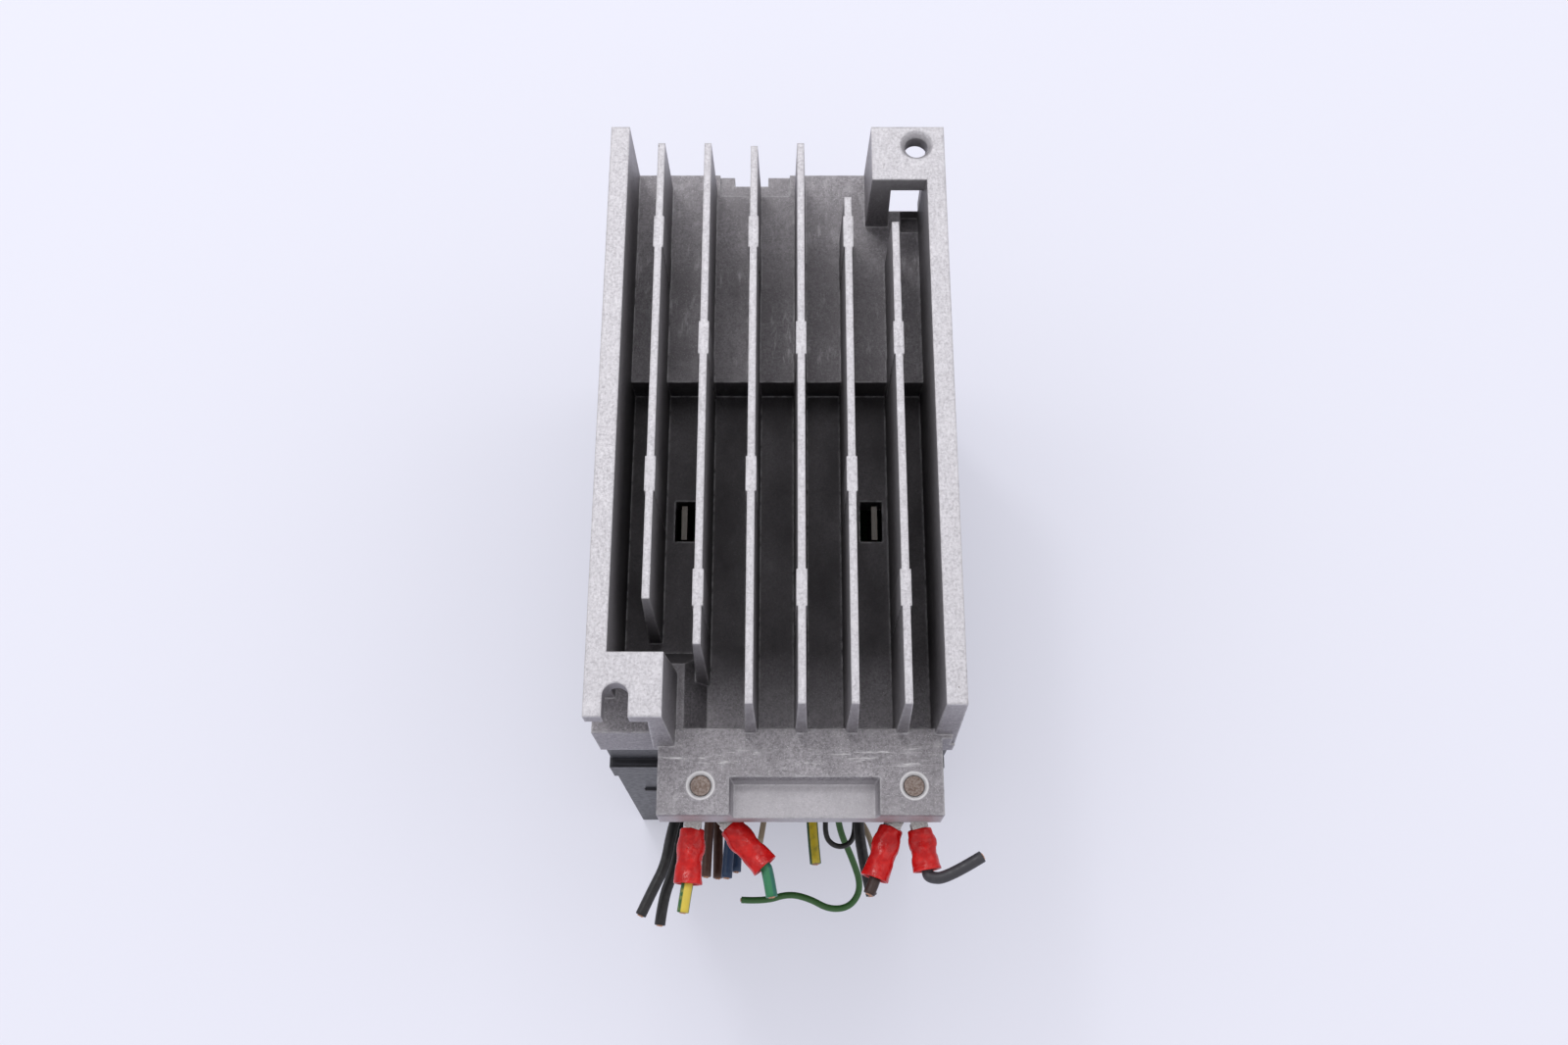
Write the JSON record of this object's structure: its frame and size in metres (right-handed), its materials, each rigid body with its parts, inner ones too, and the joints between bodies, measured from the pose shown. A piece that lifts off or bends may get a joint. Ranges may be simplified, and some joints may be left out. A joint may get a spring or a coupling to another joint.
{
  "type": "variable frequency drive",
  "caption": "Compact wall-mounting motor drive: finned cast heatsink with diagonal feet and earth flange, plastic case with keypad, dial and terminal door, cut-off wires.",
  "frame": {"origin": "middle of the case outline, on the plane of the front rim that it lies on", "axes": "+Z out of the heatsink's back (mounting) plane, +Y towards the end with the round mounting hole, wires leave at -Y"},
  "size_m": [0.0776, 0.1626, 0.12],
  "materials": {
    "board_laminate": "solder mask",
    "capacitor_sleeve": "heat shrunk sleeve",
    "case_plastic": "fine moulded texture",
    "cast_aluminium": "as die-cast, lightly blasted, rubbed bright on edges",
    "chip_plastic": "moulded epoxy",
    "clip_steel": "spring steel",
    "dial_plastic": "fluted edge",
    "display_plastic": "epoxy filled",
    "ferrite": "sintered and taped",
    "film_plastic": "epoxy box",
    "key_rubber": "matt",
    "lamp_plastic": "diffused",
    "panel_plastic": "fine moulded texture",
    "power_terminal_plastic": "moulded",
    "red_sleeve": "glossy vinyl",
    "relay_plastic": "moulded",
    "screw_steel": "zinc plated",
    "smoked_window": "smoked clear plastic",
    "standoff_brass": "plated",
    "terminal_plastic": "moulded",
    "thermal_silicone": "soft pad",
    "tinned_copper": "tinned",
    "wire_beige": "satin PVC",
    "wire_black": "satin PVC",
    "wire_blue": "satin PVC",
    "wire_brown": "satin PVC",
    "wire_green": "satin PVC",
    "wire_green_yellow": "green PVC with yellow stripes"
  },
  "bodies": {
    "drive": {"beige_wire": "wire_beige", "black_wire_a": "wire_black", "black_wire_b": "wire_black", "black_wire_c": "wire_black", "blue_wire_a": "wire_blue", "blue_wire_b": "wire_blue", "board_connector": "chip_plastic", "board_screws": "screw_steel", "board_standoffs": "standoff_brass", "brown_wire_a": "wire_brown", "brown_wire_b": "wire_brown", "bus_capacitors": "capacitor_sleeve", "charge_relay": "relay_plastic", "control_board": "board_laminate", "control_chips": "chip_plastic", "control_terminal_screws": "screw_steel", "control_terminals": "terminal_plastic", "display_module": "display_plastic", "display_window": "smoked_window", "earth_screws": "screw_steel", "earth_wire": "wire_green_yellow", "film_capacitors": "film_plastic", "filter_choke": "ferrite", "front_panel": "panel_plastic", "green_wire": "wire_green", "heatsink_casting": "cast_aluminium", "housing": "case_plastic", "jumper_loop": "wire_black", "key_switches": "chip_plastic", "lug_sleeves": "red_sleeve", "lug_wire_stubs": "wire_green_yellow", "mode_switch_body": "relay_plastic", "module_clips": "clip_steel", "operator_board": "board_laminate", "output_relay": "relay_plastic", "panel_screws": "screw_steel", "power_board": "board_laminate", "power_module": "chip_plastic", "power_terminal_screws": "screw_steel", "power_terminals": "power_terminal_plastic", "rectifier_bridge": "chip_plastic", "ring_lugs": "tinned_copper", "speed_potentiometer": "relay_plastic", "status_lamps": "lamp_plastic", "switching_transformer": "ferrite", "tan_wire": "wire_beige", "thermal_pad": "thermal_silicone", "wiring_comb": "case_plastic"},
    "terminal_door": {"terminal_door": "case_plastic"},
    "speed_dial": {"speed_dial": "dial_plastic"},
    "mode_switch_slider": {"mode_switch_slider": "terminal_plastic"},
    "key_run": {"key_run": "key_rubber"},
    "key_stop": {"key_stop": "key_rubber"},
    "key_menu": {"key_menu": "key_rubber"},
    "key_up": {"key_up": "key_rubber"},
    "key_down": {"key_down": "key_rubber"},
    "key_enter": {"key_enter": "key_rubber"}
  },
  "joints": [
    {"name": "door_hinge", "type": "hinge", "parent": "drive", "child": "terminal_door", "pos_m": [-0.0321, -0.025, 0.0022], "axis": [0, 1, 0], "range_deg": [0, 100]},
    {"name": "dial_turn", "type": "hinge", "parent": "drive", "child": "speed_dial", "pos_m": [0.019, 0.024, 0.002], "axis": [0, 0, 1], "range_deg": [-150, 150]},
    {"name": "mode_slide", "type": "slide", "parent": "drive", "child": "mode_switch_slider", "axis": [1, 0, 0], "range_m": [0, 0.0028]},
    {"name": "key_run_press", "type": "slide", "parent": "drive", "child": "key_run", "axis": [0, 0, 1], "range_m": [0, 0.0005], "stiffness_N_per_m": 600, "springref_m": -0.0003},
    {"name": "key_stop_press", "type": "slide", "parent": "drive", "child": "key_stop", "axis": [0, 0, 1], "range_m": [0, 0.0005], "stiffness_N_per_m": 600, "springref_m": -0.0003},
    {"name": "key_menu_press", "type": "slide", "parent": "drive", "child": "key_menu", "axis": [0, 0, 1], "range_m": [0, 0.0005], "stiffness_N_per_m": 600, "springref_m": -0.0003},
    {"name": "key_up_press", "type": "slide", "parent": "drive", "child": "key_up", "axis": [0, 0, 1], "range_m": [0, 0.0005], "stiffness_N_per_m": 600, "springref_m": -0.0003},
    {"name": "key_down_press", "type": "slide", "parent": "drive", "child": "key_down", "axis": [0, 0, 1], "range_m": [0, 0.0005], "stiffness_N_per_m": 600, "springref_m": -0.0003},
    {"name": "key_enter_press", "type": "slide", "parent": "drive", "child": "key_enter", "axis": [0, 0, 1], "range_m": [0, 0.0005], "stiffness_N_per_m": 600, "springref_m": -0.0003}
  ]
}
